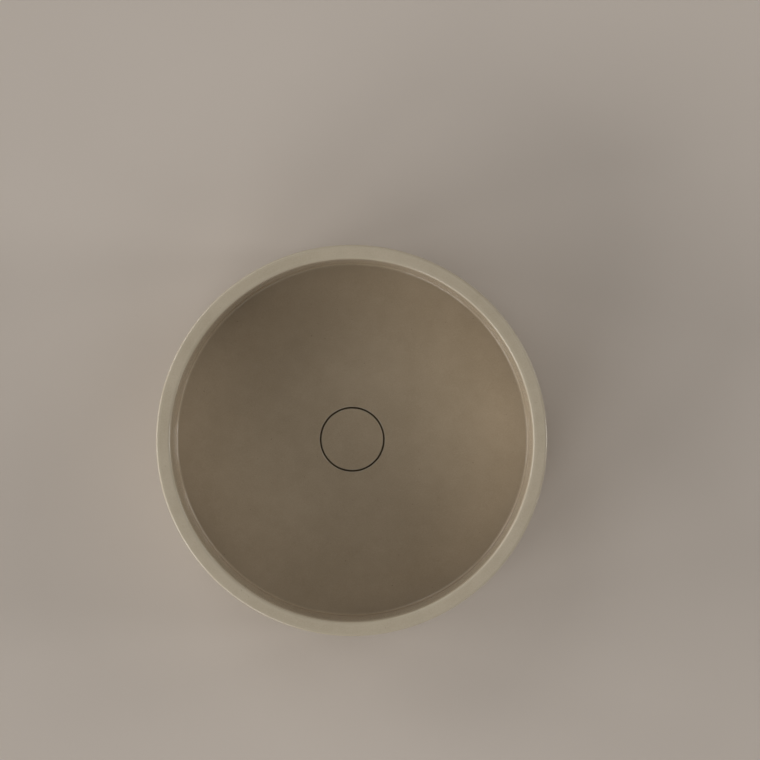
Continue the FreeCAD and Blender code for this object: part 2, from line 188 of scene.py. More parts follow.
def make_concrete():
    """Sealed cast concrete: clouds, mottling, sand, pinholes, paler edges, painted shade in the bowl and
    drain pocket.
    """
    material, tree, shader, place = new_finish("cast_concrete_sealed")
    layers, total = {}, 0.0
    for label, width_mm, detail, weight in CONCRETE_LAYERS:
        layers[label] = add_node(tree, "ShaderNodeTexNoise", inputs={
            "Vector": place, "Scale": per_metre(width_mm), "Detail": detail,
            "Roughness": LAYER_ROUGHNESS}).outputs["Fac"]
        total = add_node(tree, "ShaderNodeMath", {"operation": "MULTIPLY_ADD"}, {
            0: layers[label], 1: weight, 2: total}).outputs[0]
    share = add_node(tree, "ShaderNodeMapRange", inputs={"Value": total, **TONE_RANGE}).outputs[0]
    tone = add_node(tree, "ShaderNodeMix", {"data_type": "RGBA"}, {
        0: share, 6: linear_colour(CONCRETE_DARK), 7: linear_colour(CONCRETE_LIGHT)}).outputs[2]

    level, _, radius = from_axis(tree, place)
    # Painted shade: each zone darkens and warms the concrete inside it, fading at its edges.
    for tint, *fades in PAINTED_SHADE_ZONES:
        shade_mask = 1.0
        for value, (start, end), target in zip((radius, level, level), fades, (FALLING, RISING, FALLING)):
            fade = add_node(tree, "ShaderNodeMapRange", {"interpolation_type": "SMOOTHSTEP"}, {
                "Value": value, "From Min": start * MM, "From Max": end * MM, **target}).outputs[0]
            shade_mask = add_node(tree, "ShaderNodeMath", {"operation": "MULTIPLY"}, {0: fade, 1: shade_mask}).outputs[0]
        tone = add_node(tree, "ShaderNodeMix", {"data_type": "RGBA", "blend_type": "MULTIPLY"}, {
            0: shade_mask, 6: tone, 7: linear_colour(tint)}).outputs[2]

    wear = add_node(tree, "ShaderNodeAttribute", {"attribute_name": "edge_wear"}).outputs["Fac"]
    worn = add_node(tree, "ShaderNodeMath", {"operation": "MULTIPLY"}, {
        0: wear, 1: layers["mottle"]}).outputs[0]
    rubbed = add_node(tree, "ShaderNodeMix", {"data_type": "RGBA"}, {
        0: worn, 6: tone, 7: linear_colour(CONCRETE_EDGE)}).outputs[2]

    cells = add_node(tree, "ShaderNodeTexVoronoi", inputs={
        "Vector": place, "Scale": per_metre(PINHOLE_CELL_MM)}).outputs
    draw = add_node(tree, "ShaderNodeSeparateColor", inputs={0: cells["Color"]}).outputs[0]
    size = add_node(tree, "ShaderNodeMapRange", inputs={"Value": draw, **PINHOLE_RANGE}).outputs[0]
    pit = add_node(tree, "ShaderNodeMapRange", {"interpolation_type": "SMOOTHSTEP"}, {
        "Value": cells["Distance"], "From Max": size, **FALLING}).outputs[0]
    # The pits are painted dark: painted shade inside each pinhole.
    pitted = add_node(tree, "ShaderNodeMix", {"data_type": "RGBA"}, {
        0: pit, 6: rubbed, 7: linear_colour(PINHOLE_COLOUR)}).outputs[2]

    gloss = add_node(tree, "ShaderNodeMapRange", inputs={
        "Value": layers["mottle"], **CONCRETE_GLOSS}).outputs[0]
    hollow = add_node(tree, "ShaderNodeMath", {"operation": "MULTIPLY_ADD"}, {
        0: pit, 1: PINHOLE_DEPTH, 2: layers["sand"]}).outputs[0]
    bump = add_node(tree, "ShaderNodeBump", inputs={"Height": hollow, **SAND_RELIEF}).outputs[0]
    set_inputs(tree, shader, {"Base Color": pitted, "Roughness": gloss, "Normal": bump, "Coat Normal": bump})
    set_inputs(tree, shader, LACQUER)
    return material


concrete = make_concrete()
print("made", concrete.name, "with", len(concrete.node_tree.nodes), "nodes")

# %% [markdown]
# ## Helpers for shape trees
#
# Turned pieces, repeated arms and a coil follow rules, so each gets a Geometry Nodes tree with named sizes.
# All trees begin and end in the same way, and two go round the axis, so that much is written once.

# %% Tree helpers
def new_tree(name, start, sizes, result):
    """A Geometry Nodes tree with a starting shape, named sizes and a result: the tree and its inputs."""
    tree = bpy.data.node_groups.new(name, "GeometryNodeTree")
    tree.interface.new_socket(start, in_out="INPUT", socket_type="NodeSocketGeometry")
    for label, kind in sizes.items():
        tree.interface.new_socket(label, in_out="INPUT", socket_type="NodeSocket" + kind)
    tree.interface.new_socket(result, in_out="OUTPUT", socket_type="NodeSocketGeometry")
    return tree, add_node(tree, "NodeGroupInput").outputs


def end_tree(tree, shape, finish, result):
    """Make the shape real, give it its finish and hand it out."""
    whole = add_node(tree, "GeometryNodeRealizeInstances", inputs={"Geometry": shape}).outputs[0]
    dressed = add_node(tree, "GeometryNodeSetMaterial", inputs={
        "Geometry": whole, "Material": finish}).outputs[0]
    add_node(tree, "NodeGroupOutput", inputs={result: dressed})


def point_on_circle(tree, turns, radius, level):
    """Point after some turns round the Z axis, at a distance from the axis and a level."""
    angle = add_node(tree, "ShaderNodeMath", {"operation": "MULTIPLY"}, {0: turns, 1: 2 * math.pi}).outputs[0]
    across = []
    for operation in ("COSINE", "SINE"):
        swing = add_node(tree, "ShaderNodeMath", {"operation": operation}, {0: angle}).outputs[0]
        across.append(add_node(tree, "ShaderNodeMath", {"operation": "MULTIPLY"}, {
            0: radius, 1: swing}).outputs[0])
    return add_node(tree, "ShaderNodeCombineXYZ", inputs={0: across[0], 1: across[1], 2: level}).outputs[0]


print("shape trees so far", len(bpy.data.node_groups))

# %% [markdown]
# ## Turned shapes by rule
#
# The bowl, the cover and most pieces of the waste are turned: one outline, swept round the axis. One tree
# does that for all of them. It lays a grid with one row for each point of the outline and one column for each
# step round, then puts every grid point where its outline point would be after the turn. A flag on the
# outline says which points carry a thread, and those are cut in along a helix. Another flag marks convex
# edges for wear. A low wave over the whole surface stands for a hand-made mould.

# %% The turning tree
# in turns of the thread: from crest to root, and the stretch between them that its flank takes up
THREAD_HALF, THREAD_FLANK = 0.5, {"From Min": 0.06, "From Max": 0.44}
SEWING_MM, CREASE_DEGREES, WAVE_DETAIL = 0.0005, 32, 1.0


def make_turning_tree():
    """Geometry Nodes tree that turns an outline, given as points (radius, 0, level), round the Z axis."""
    tree, given = new_tree("turned_piece", "Outline", {
        "Steps round": "Int", "Closed": "Int", "Thread pitch": "Float", "Thread depth": "Float",
        "Wave height": "Float", "Wave length": "Float", "Seed": "Float", "Finish": "Material"}, "Piece")
    points = add_node(tree, "GeometryNodeAttributeDomainSize", {"component": "MESH"}, {
        "Geometry": given["Outline"]}).outputs["Point Count"]
    rows = add_node(tree, "ShaderNodeMath", {"operation": "ADD"}, {0: points, 1: given["Closed"]}).outputs[0]
    columns = add_node(tree, "ShaderNodeMath", {"operation": "ADD"}, {
        0: given["Steps round"], 1: 1.0}).outputs[0]
    grid = add_node(tree, "GeometryNodeMeshGrid", inputs={
        "Vertices X": columns, "Vertices Y": rows}).outputs["Mesh"]
    index = add_node(tree, "GeometryNodeInputIndex").outputs[0]
    ratio = add_node(tree, "ShaderNodeMath", {"operation": "DIVIDE"}, {0: index, 1: rows}).outputs[0]
    column = add_node(tree, "ShaderNodeMath", {"operation": "FLOOR"}, {0: ratio}).outputs[0]
    row = add_node(tree, "ShaderNodeMath", {"operation": "MODULO"}, {0: index, 1: rows}).outputs[0]
    source = add_node(tree, "ShaderNodeMath", {"operation": "MODULO"}, {0: row, 1: points}).outputs[0]
    turn = add_node(tree, "ShaderNodeMath", {"operation": "DIVIDE"}, {
        0: column, 1: given["Steps round"]}).outputs[0]

    position = add_node(tree, "GeometryNodeInputPosition").outputs[0]
    fields = {"place": ("FLOAT_VECTOR", position)}
    for label in ("thread", "edge_wear"):
        stored = add_node(tree, "GeometryNodeInputNamedAttribute", {"data_type": "FLOAT"}, {"Name": label})
        fields[label] = ("FLOAT", stored.outputs[0])
    sampled = {}
    for label, (kind, value) in fields.items():
        sampled[label] = add_node(tree, "GeometryNodeSampleIndex", {"data_type": kind}, {
            "Geometry": given["Outline"], "Value": value, "Index": source}).outputs[0]
    spot = add_node(tree, "ShaderNodeSeparateXYZ", inputs={0: sampled["place"]}).outputs

    climb = add_node(tree, "ShaderNodeMath", {"operation": "DIVIDE"}, {
        0: spot["Z"], 1: given["Thread pitch"]}).outputs[0]
    phase = add_node(tree, "ShaderNodeMath", {"operation": "SUBTRACT"}, {0: climb, 1: turn}).outputs[0]
    tooth = add_node(tree, "ShaderNodeMath", {"operation": "PINGPONG"}, {0: phase, 1: THREAD_HALF}).outputs[0]
    cut = add_node(tree, "ShaderNodeMapRange", inputs={
        "Value": tooth, **THREAD_FLANK, "To Min": 0.0, "To Max": given["Thread depth"]}).outputs[0]
    groove = add_node(tree, "ShaderNodeMath", {"operation": "MULTIPLY"}, {
        0: cut, 1: sampled["thread"]}).outputs[0]
    radius = add_node(tree, "ShaderNodeMath", {"operation": "SUBTRACT"}, {0: spot["X"], 1: groove}).outputs[0]
    marked = add_node(tree, "GeometryNodeStoreNamedAttribute", {"data_type": "FLOAT", "domain": "POINT"}, {
        "Geometry": grid, "Name": "edge_wear", "Value": sampled["edge_wear"]}).outputs[0]
    turned = add_node(tree, "GeometryNodeSetPosition", inputs={
        "Geometry": marked, "Position": point_on_circle(tree, turn, radius, spot["Z"])}).outputs[0]
    sewn = add_node(tree, "GeometryNodeMergeByDistance", inputs={
        "Geometry": turned, "Distance": SEWING_MM * MM}).outputs[0]

    shifted = add_node(tree, "ShaderNodeVectorMath", {"operation": "ADD"}, {
        0: position, 1: given["Seed"]}).outputs[0]
    frequency = add_node(tree, "ShaderNodeMath", {"operation": "DIVIDE"}, {
        0: 1.0, 1: given["Wave length"]}).outputs[0]
    wave = add_node(tree, "ShaderNodeTexNoise", inputs={
        "Vector": shifted, "Scale": frequency, "Detail": WAVE_DETAIL}).outputs["Fac"]
    sink = add_node(tree, "ShaderNodeMath", {"operation": "MULTIPLY"}, {
        0: wave, 1: given["Wave height"]}).outputs[0]
    inwards = add_node(tree, "ShaderNodeMath", {"operation": "MULTIPLY"}, {0: sink, 1: -1.0}).outputs[0]
    normal = add_node(tree, "GeometryNodeInputNormal").outputs[0]
    push = add_node(tree, "ShaderNodeVectorMath", {"operation": "SCALE"}, {
        0: normal, "Scale": inwards}).outputs[0]
    waved = add_node(tree, "GeometryNodeSetPosition", inputs={"Geometry": sewn, "Offset": push}).outputs[0]

    smooth = add_node(tree, "GeometryNodeSetShadeSmooth", {"domain": "FACE"}, {"Geometry": waved}).outputs[0]
    bend = add_node(tree, "GeometryNodeInputMeshEdgeAngle").outputs["Unsigned Angle"]
    soft = add_node(tree, "ShaderNodeMath", {"operation": "LESS_THAN"}, {
        0: bend, 1: math.radians(CREASE_DEGREES)}).outputs[0]
    creased = add_node(tree, "GeometryNodeSetShadeSmooth", {"domain": "EDGE"}, {
        "Geometry": smooth, "Shade Smooth": soft}).outputs[0]
    end_tree(tree, creased, given["Finish"], "Piece")
    return tree


turning_tree = make_turning_tree()
print("turning tree has", len(turning_tree.nodes), "nodes")

# %% [markdown]
# ## From corners to an outline
#
# An outline is written as a maker's drawing would give it: corners as radius and level in millimetres, with
# a rounding where the corner has one. The helpers draw the roundings as arcs and divide the straight runs. A
# short step next to each arc keeps flat faces flat when they are shaded.

# %% Outline helpers
ARC_STEPS = 8
HOLD_MM, SHORTEST_MM, THREAD_MARGIN_MM = 0.5, 1e-6, 0.01


def divided_run(start, end, spacing):
    """Points on a straight run, its start included and its end left out, with short steps at both ends."""
    length = (end - start).length
    if length < SHORTEST_MM:
        return []
    hold = min(HOLD_MM, length / 3)
    inner = max(1, math.ceil((length - 2 * hold) / spacing))
    steps = [0.0] + [hold + (length - 2 * hold) * k / inner for k in range(inner + 1)]
    return [start + (end - start) * (step / length) for step in steps]


def rounded_corner(before, spot, after, rounding):
    """Points of the arc that rounds a corner, and 1 where the corner sticks out and wears, or else 0."""
    back, ahead = (before - spot).normalized(), (after - spot).normalized()
    half = back.angle(ahead) / 2
    centre = spot + (back + ahead).normalized() * (rounding / math.sin(half))
    first = spot + back * (rounding / math.tan(half)) - centre
    last = spot + ahead * (rounding / math.tan(half)) - centre
    sweep = first.angle_signed(last)
    arc = []
    for step in range(ARC_STEPS + 1):
        swing = -sweep * step / ARC_STEPS
        arc.append(centre + Vector((first.x * math.cos(swing) - first.y * math.sin(swing),
                                    first.x * math.sin(swing) + first.y * math.cos(swing))))
    return arc, float(sweep < 0)


def outline_mesh(name, corners, spacing, closed=True, thread=None):
    """Points of an outline, flagged for wear on roundings and for a thread at a radius between two levels."""
    spots = [Vector(corner[:2]) for corner in corners]
    arcs = []
    for number, corner in enumerate(corners):
        arcs.append(([spots[number]], 0.0) if len(corner) == 2 else rounded_corner(
            spots[number - 1], spots[number], spots[(number + 1) % len(spots)], corner[2]))
    points, worn = [], []
    for number, (arc, wear) in enumerate(arcs):
        run = arc[-1:]
        if closed or number < len(arcs) - 1:
            run = divided_run(arc[-1], arcs[(number + 1) % len(arcs)][0][0], spacing)
        points += arc[:-1] + run
        worn += [wear] * (len(arc) - 1) + [wear if step == 0 else 0.0 for step in range(len(run))]
    cut = [0.0] * len(points)
    if thread:
        radius, bottom, top = thread
        cut = [float(abs(p.x - radius) < THREAD_MARGIN_MM and bottom <= p.y <= top) for p in points]
    mesh = bpy.data.meshes.new(name)
    mesh.from_pydata([(p.x * MM, 0, p.y * MM) for p in points], [], [])
    for label, values in (("edge_wear", worn), ("thread", cut)):
        mesh.attributes.new(label, "FLOAT", "POINT").data.foreach_set("value", values)
    return mesh


print("a rounding has", ARC_STEPS + 1, "points")

# %% [markdown]
# ## From an outline to a piece
#
# A tree works as a modifier while the shape is made. Only its plain mesh is kept, so that a finished piece
# doesn't depend on how it was made. The volume of each turned piece is printed: a negative one would mean
# that its faces point inwards.

# %% Piece helpers
def levels_of(node):
    """Lowest and highest level of a CAD node, in millimetres."""
    low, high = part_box(node)
    return low.z / MM, high.z / MM


def shape_by_nodes(name, base_mesh, tree, sizes):
    """Run a Geometry Nodes tree with the given sizes and keep its result as a plain mesh at the origin."""
    piece = bpy.data.objects.new(name, base_mesh)
    scene.collection.objects.link(piece)
    modifier = piece.modifiers.new("shape", "NODES")
    modifier.node_group = tree
    for item in tree.interface.items_tree:
        if item.in_out == "INPUT" and item.name in sizes:
            modifier[item.identifier] = sizes[item.name]
    bpy.context.view_layer.update()
    graph = bpy.context.evaluated_depsgraph_get()
    mesh = bpy.data.meshes.new_from_object(piece.evaluated_get(graph))
    piece.modifiers.remove(modifier)
    piece.data = mesh
    mesh.name = name
    return piece


def signed_volume(mesh):
    """Volume in cubic centimetres, positive when the faces point outwards."""
    mesh.calc_loop_triangles()
    total = 0.0
    for triangle in mesh.loop_triangles:
        a, b, c = (mesh.vertices[v].co for v in triangle.vertices)
        total += a.dot(b.cross(c)) / 6
    return total * 1e6


def turned_piece(name, node, body, finish, corners, spacing, steps, closed=True,
                 thread=None, pitch=1.0, depth=0.0, wave=0.0, wave_length=100.0, seed=0.0):
    """Turn a piece from its corners, in millimetres, and let it stand for a CAD node."""
    base = outline_mesh(name + "_outline", corners, spacing, closed, thread)
    piece = shape_by_nodes(name, base, turning_tree, {
        "Steps round": steps, "Closed": int(closed), "Thread pitch": pitch * MM, "Thread depth": depth * MM,
        "Wave height": wave * MM, "Wave length": wave_length * MM, "Seed": seed, "Finish": finish})
    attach(piece, body)
    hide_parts(node)
    print(name, len(piece.data.polygons), "faces,", round(signed_volume(piece.data), 2), "cm3")


print("the bowl lies between levels", [round(level, 1) for level in levels_of("bowl")], "mm")

# %% [markdown]
# ## The bowl
#
# The bowl is a straight drum with a flat rim about 14 mm wide. The rim's edges were ground by hand: the flat
# eases down over the last three millimetres, turns the corner in a small rounding, and eases into the wall.
# The inner wall leans by a degree, so that the casting leaves its mould, and a small concave corner leads
# into the floor, which falls a little to the drain. Underneath is a foot ring, and a recess leaves room for a
# spanner. A stock shape with bevels could give this too, but the outline keeps every rounding at its real
# size.

# %% Turn the bowl
RIM_WALL, RIM_EDGE_ROUND, WALL_DRAFT_DEGREES = 14.5, 2.3, 1.2
EASING_WIDTH, EASING_DROP, EASING_ROUND = 3.2, 0.3, 8.0
WALL_EASING_WIDTH, WALL_EASING_DROP, WALL_EASING_ROUND = 0.9, 7.0, 15.0
DRAIN_LEVEL, FLOOR_FALL, FLOOR_CORNER_ROUND = 38.0, 4.0, 2.7
BASE_EDGE_ROUND, FOOT_WIDTH, BASE_RELIEF = 6.0, 28.0, 3.0
POCKET_RADIUS, POCKET_LEVEL, HOLE_RADIUS = 33.6, 24.1, 23.455
RECESS_RADIUS, RECESS_LEVEL, POCKET_EDGE_ROUND = 42.255, 14.1, 0.8

rim_radius = bowl_high.x / MM
rim_level = bowl_high.z / MM
lean = math.tan(math.radians(WALL_DRAFT_DEGREES))
wall_foot_level = DRAIN_LEVEL + FLOOR_FALL
rim_inner_radius = rim_radius - RIM_WALL
wall_foot_radius = rim_inner_radius - lean * (rim_level - wall_foot_level)
base_radius = rim_radius - lean * rim_level
bowl_corners = [
    (base_radius, 0, BASE_EDGE_ROUND),
    (rim_radius, rim_level - EASING_DROP, RIM_EDGE_ROUND),
    (rim_radius - EASING_WIDTH, rim_level, EASING_ROUND),
    (rim_inner_radius + EASING_WIDTH, rim_level, EASING_ROUND),
    (rim_inner_radius, rim_level - EASING_DROP, RIM_EDGE_ROUND),
    (rim_inner_radius - WALL_EASING_WIDTH, rim_level - WALL_EASING_DROP, WALL_EASING_ROUND),
    (wall_foot_radius, wall_foot_level, FLOOR_CORNER_ROUND),
    (POCKET_RADIUS, DRAIN_LEVEL, POCKET_EDGE_ROUND),
    (POCKET_RADIUS, POCKET_LEVEL),
    (HOLE_RADIUS, POCKET_LEVEL),
    (HOLE_RADIUS, RECESS_LEVEL),
    (RECESS_RADIUS, RECESS_LEVEL),
    (RECESS_RADIUS, BASE_RELIEF),
    (base_radius - FOOT_WIDTH, BASE_RELIEF),
    (base_radius - FOOT_WIDTH, 0),
]
turned_piece("basin_bowl", "bowl", "basin", concrete, bowl_corners,
             spacing=5.0, steps=360, wave=0.12, wave_length=90, seed=3.0)

# %% [markdown]
# ## The drain cover
#
# The cover is a plain disc of the same concrete, flush with the floor, with a thin gap round it. It is turned
# like the bowl. Its edge was rubbed down a little, so the gap is a touch wider than drawn.

# %% Turn the drain cover
COVER_EDGE_ROUND, COVER_EASE = 0.5, 0.15
cover_low, cover_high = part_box("drain_cover")
cover_radius = cover_high.x / MM - COVER_EASE
cover_corners = [
    (0, cover_low.z / MM),
    (cover_radius, cover_low.z / MM, COVER_EDGE_ROUND),
    (cover_radius, cover_high.z / MM, COVER_EDGE_ROUND),
    (0, cover_high.z / MM),
]
turned_piece("drain_cover_disc", "drain_cover", "cover", concrete, cover_corners,
             spacing=2.5, steps=192, closed=False, wave=0.05, wave_length=60, seed=11.0)

# %% [markdown]
# ## Lines and grain from the tools
#
# Most metal under the cover is turned on a lathe and shows fine lines round the axis, so one helper gives
# coordinates that change fast along the axis and across it, and slowly round it. Nuts are cut from hexagon
# bar, which was drawn through a die, so their flats carry lines along the axis. Castings and wire only have a
# fine grain. The real lines are a tenth of a millimetre apart, too fine to show, so they are drawn a few
# times wider.

# %% Line and grain patterns
LINE_LOOK = {"Detail": 3.0, "Roughness": 0.65}
PATCHES_ROUND, DRAWN_STRETCH = 3.0, 40


def lathe_lines(tree, place, line_mm):
    """Noise stretched round the Z axis into lines of the given width."""
    level, flat, radius = from_axis(tree, place)
    along = add_node(tree, "ShaderNodeMath", {"operation": "ADD"}, {0: radius, 1: level}).outputs[0]
    lines = add_node(tree, "ShaderNodeMath", {"operation": "MULTIPLY"}, {
        0: along, 1: per_metre(line_mm)}).outputs[0]
    heading = add_node(tree, "ShaderNodeVectorMath", {"operation": "NORMALIZE"}, {0: flat}).outputs[0]
    slow = add_node(tree, "ShaderNodeVectorMath", {"operation": "SCALE"}, {
        0: heading, "Scale": PATCHES_ROUND}).outputs[0]
    lift = add_node(tree, "ShaderNodeCombineXYZ", inputs={2: lines}).outputs[0]
    spot = add_node(tree, "ShaderNodeVectorMath", {"operation": "ADD"}, {0: slow, 1: lift}).outputs[0]
    return add_node(tree, "ShaderNodeTexNoise", inputs={
        "Vector": spot, "Scale": 1.0, **LINE_LOOK}).outputs["Fac"]


def drawn_lines(tree, place, line_mm):
    """Noise stretched along the Z axis, as on bar that was drawn through a die."""
    squeeze = (per_metre(line_mm), per_metre(line_mm), per_metre(line_mm * DRAWN_STRETCH))
    spot = add_node(tree, "ShaderNodeVectorMath", {"operation": "MULTIPLY"}, {
        0: place, 1: squeeze}).outputs[0]
    return add_node(tree, "ShaderNodeTexNoise", inputs={
        "Vector": spot, "Scale": 1.0, **LINE_LOOK}).outputs["Fac"]


def even_grain(tree, place, grain_mm):
    """Even fine grain, as on a plated casting or on wire."""
    return add_node(tree, "ShaderNodeTexNoise", inputs={
        "Vector": place, "Scale": per_metre(grain_mm), **LINE_LOOK}).outputs["Fac"]


print("lines of 0.5 mm are", round(per_metre(0.5)), "to the metre")

# %% [markdown]
# ## Metals and plastic of the waste
#
# The visible metal is brass under brushed nickel plate, warm and satin. Bare brass, spring steel and white
# acetal lie deeper. They differ in colour, gloss and tarnish, so one function makes them all: the pattern
# mixes a light and a dark tone, and stains lie over it in soft clouds that are duller than the rest.

# %% Turned, drawn and cast metals, and acetal
LINE_RANGE, LINE_STRENGTH = {"From Min": 0.35, "From Max": 0.65}, 0.5
STAIN_LOOK = {"Detail": 4.0, "Roughness": 0.6}
STAIN_RANGE = {"From Min": 0.5, "From Max": 0.75, "To Max": 0.6}
STAIN_DULLNESS, GLOSS_RANGE = 0.4, {"From Min": 0.5, "From Max": 0.9}


def make_worked_finish(name, pattern, light, dark, stain, line_mm, cloud_mm, gloss, line_depth_mm,
                       metallic=1.0):
    """A turned, drawn or cast surface: its lines or grain, and stains in soft clouds."""
    material, tree, shader, place = new_finish(name)
    lines = pattern(tree, place, line_mm)
    clouds = add_node(tree, "ShaderNodeTexNoise", inputs={
        "Vector": place, "Scale": per_metre(cloud_mm), **STAIN_LOOK}).outputs["Fac"]
    share = add_node(tree, "ShaderNodeMapRange", inputs={"Value": lines, **LINE_RANGE}).outputs[0]
    bare = add_node(tree, "ShaderNodeMix", {"data_type": "RGBA"}, {
        0: share, 6: linear_colour(dark), 7: linear_colour(light)}).outputs[2]
    patch = add_node(tree, "ShaderNodeMapRange", inputs={"Value": clouds, **STAIN_RANGE}).outputs[0]
    stained = add_node(tree, "ShaderNodeMix", {"data_type": "RGBA"}, {
        0: patch, 6: bare, 7: linear_colour(stain)}).outputs[2]
    dull = add_node(tree, "ShaderNodeMath", {"operation": "MULTIPLY_ADD"}, {
        0: clouds, 1: STAIN_DULLNESS, 2: lines}).outputs[0]
    rough = add_node(tree, "ShaderNodeMapRange", inputs={
        "Value": dull, **GLOSS_RANGE, "To Min": gloss[0], "To Max": gloss[1]}).outputs[0]
    bump = add_node(tree, "ShaderNodeBump", inputs={
        "Height": lines, "Strength": LINE_STRENGTH, "Distance": line_depth_mm * MM}).outputs[0]
    set_inputs(tree, shader, {
        "Base Color": stained, "Roughness": rough, "Normal": bump, "Metallic": metallic})
    print("made", name)
    return material


brushed_nickel = make_worked_finish("brushed_nickel_plate", lathe_lines, "#c9c1b4", "#b0a799", "#9a9184",
                                    line_mm=0.3, cloud_mm=12, gloss=(0.26, 0.42), line_depth_mm=0.015)
cast_nickel = make_worked_finish("cast_nickel_plate", even_grain, "#c4bcaf", "#b2a99b", "#9a9184",
                                 line_mm=0.6, cloud_mm=10, gloss=(0.32, 0.46), line_depth_mm=0.02)
turned_brass = make_worked_finish("lathe_turned_brass", lathe_lines, "#c9a86a", "#b08f50", "#8b6f3e",
                                  line_mm=0.3, cloud_mm=9, gloss=(0.26, 0.44), line_depth_mm=0.02)
drawn_brass = make_worked_finish("drawn_brass_hexagon", drawn_lines, "#c6a566", "#b3924f", "#8b6f3e",
                                 line_mm=0.3, cloud_mm=9, gloss=(0.26, 0.4), line_depth_mm=0.015)
drawn_steel = make_worked_finish("drawn_spring_steel", even_grain, "#a3a09a", "#8b8883", "#6f6a65",
                                 line_mm=0.4, cloud_mm=6, gloss=(0.22, 0.36), line_depth_mm=0.01)
white_acetal = make_worked_finish("turned_white_acetal", lathe_lines, "#e9e6dd", "#dedad0", "#d3cdbf",
                                  line_mm=0.4, cloud_mm=15, gloss=(0.34, 0.5), line_depth_mm=0.01,
                                  metallic=0.0)

# %% [markdown]
# ## Moulded rubber
#
# Seals are black EPDM rubber, moulded in steel tools. The face is matt, nearly black, with a grey bloom in
# patches where wax has come to the surface, and a fine grain from the tool, which is drawn coarser than it is
# so that it shows.

# %% Rubber
RUBBER_BLACK, RUBBER_BLOOM = "#1c1b1a", "#3a3936"
BLOOM_MM, BLOOM_LOOK = 7, {"Detail": 5.0, "Roughness": 0.65}
BLOOM_RANGE = {"From Min": 0.45, "From Max": 0.8}
RUBBER_GLOSS = {"From Min": 0.3, "From Max": 0.7, "To Min": 0.5, "To Max": 0.72}
TOOL_GRAIN_MM, TOOL_GRAIN_DETAIL = 0.5, 2.0
TOOL_RELIEF = {"Strength": 0.4, "Distance": 0.02 * MM}


def make_rubber():
    """Moulded EPDM: black with a grey bloom and a fine matt grain."""
    material, tree, shader, place = new_finish("moulded_black_rubber")
    bloom = add_node(tree, "ShaderNodeTexNoise", inputs={
        "Vector": place, "Scale": per_metre(BLOOM_MM), **BLOOM_LOOK}).outputs["Fac"]
    grain = add_node(tree, "ShaderNodeTexNoise", inputs={
        "Vector": place, "Scale": per_metre(TOOL_GRAIN_MM), "Detail": TOOL_GRAIN_DETAIL}).outputs["Fac"]
    share = add_node(tree, "ShaderNodeMapRange", inputs={"Value": bloom, **BLOOM_RANGE}).outputs[0]
    tint = add_node(tree, "ShaderNodeMix", {"data_type": "RGBA"}, {
        0: share, 6: linear_colour(RUBBER_BLACK), 7: linear_colour(RUBBER_BLOOM)}).outputs[2]
    rough = add_node(tree, "ShaderNodeMapRange", inputs={"Value": bloom, **RUBBER_GLOSS}).outputs[0]
    bump = add_node(tree, "ShaderNodeBump", inputs={"Height": grain, **TOOL_RELIEF}).outputs[0]
    set_inputs(tree, shader, {"Base Color": tint, "Roughness": rough, "Normal": bump})
    return material


rubber = make_rubber()
print("made", rubber.name)

# %% [markdown]
# ## The threaded waste body
#
# The waste body is a plated brass tube with a flange, threaded outside over its lower half so that the back
# nut can climb it. The thread is a pipe thread of eleven turns to the inch. The turning tree cuts it along a
# helix, because modelled turns catch the light as real ones do, which a bump would not.

# %% Turn the waste body
TAIL_RADIUS, SOCKET_RADIUS, WATERWAY_RADIUS, OUTLET_RADIUS = 20.955, 16.655, 17.555, 14.4
FLANGE_RADIUS, FLANGE_TOP, FLANGE_BOTTOM, THROAT_CHAMFER = 31.5, 28.1, 25.7, 1.6
FLANGE_FOOT_ROUND, FLANGE_EDGE_ROUND, THROAT_ROUND = 0.3, 0.6, 0.5
SHOULDER_TOP, SHOULDER_BOTTOM, SHOULDER_ROUND = 2.1, -0.9, 0.3
PIPE_PITCH, PIPE_THREAD_DEPTH, POINTS_PER_PITCH, THREAD_TOP, THREAD_LEAD = 2.309, 1.15, 10, 10.0, 0.8

waste_bottom = levels_of("waste_body")[0]
waste_corners = [
    (SOCKET_RADIUS, waste_bottom),
    (TAIL_RADIUS - THREAD_LEAD, waste_bottom),
    (TAIL_RADIUS, waste_bottom + THREAD_LEAD),
    (TAIL_RADIUS, THREAD_TOP),
    (TAIL_RADIUS, FLANGE_BOTTOM),
    (FLANGE_RADIUS, FLANGE_BOTTOM, FLANGE_FOOT_ROUND),
    (FLANGE_RADIUS, FLANGE_TOP, FLANGE_EDGE_ROUND),
    (WATERWAY_RADIUS + THROAT_CHAMFER, FLANGE_TOP, THROAT_ROUND),
    (WATERWAY_RADIUS, FLANGE_TOP - THROAT_CHAMFER),
    (WATERWAY_RADIUS, SHOULDER_TOP),
    (OUTLET_RADIUS, SHOULDER_TOP, SHOULDER_ROUND),
    (OUTLET_RADIUS, SHOULDER_BOTTOM),
    (SOCKET_RADIUS, SHOULDER_BOTTOM),
]
turned_piece("waste_body_threaded", "waste_body", "basin", brushed_nickel, waste_corners,
             spacing=PIPE_PITCH / POINTS_PER_PITCH, steps=144, pitch=PIPE_PITCH, depth=PIPE_THREAD_DEPTH,
             thread=(TAIL_RADIUS, waste_bottom, THREAD_TOP))

# %% [markdown]
# ## The bridge in the waste body
#
# Three arms inside the tube hold a ring, and the press cartridge is screwed into that ring. On the real waste
# they are cast with the body. The arms repeat round the axis, so a second tree places them, which keeps them
# alike and leaves their number free.

# %% Place the bridge arms
BRIDGE_TOP, BRIDGE_BOTTOM, BRIDGE_BORE, BRIDGE_BOSS = 14.1, 9.1, 9.055, 12.055
BOSS_ROUND, BOSS_SPACING, BOSS_STEPS = 0.4, 2.5, 72
ARM_WIDTH, ARM_COUNT, ARM_START_DEGREES = 4.0, 3, 90


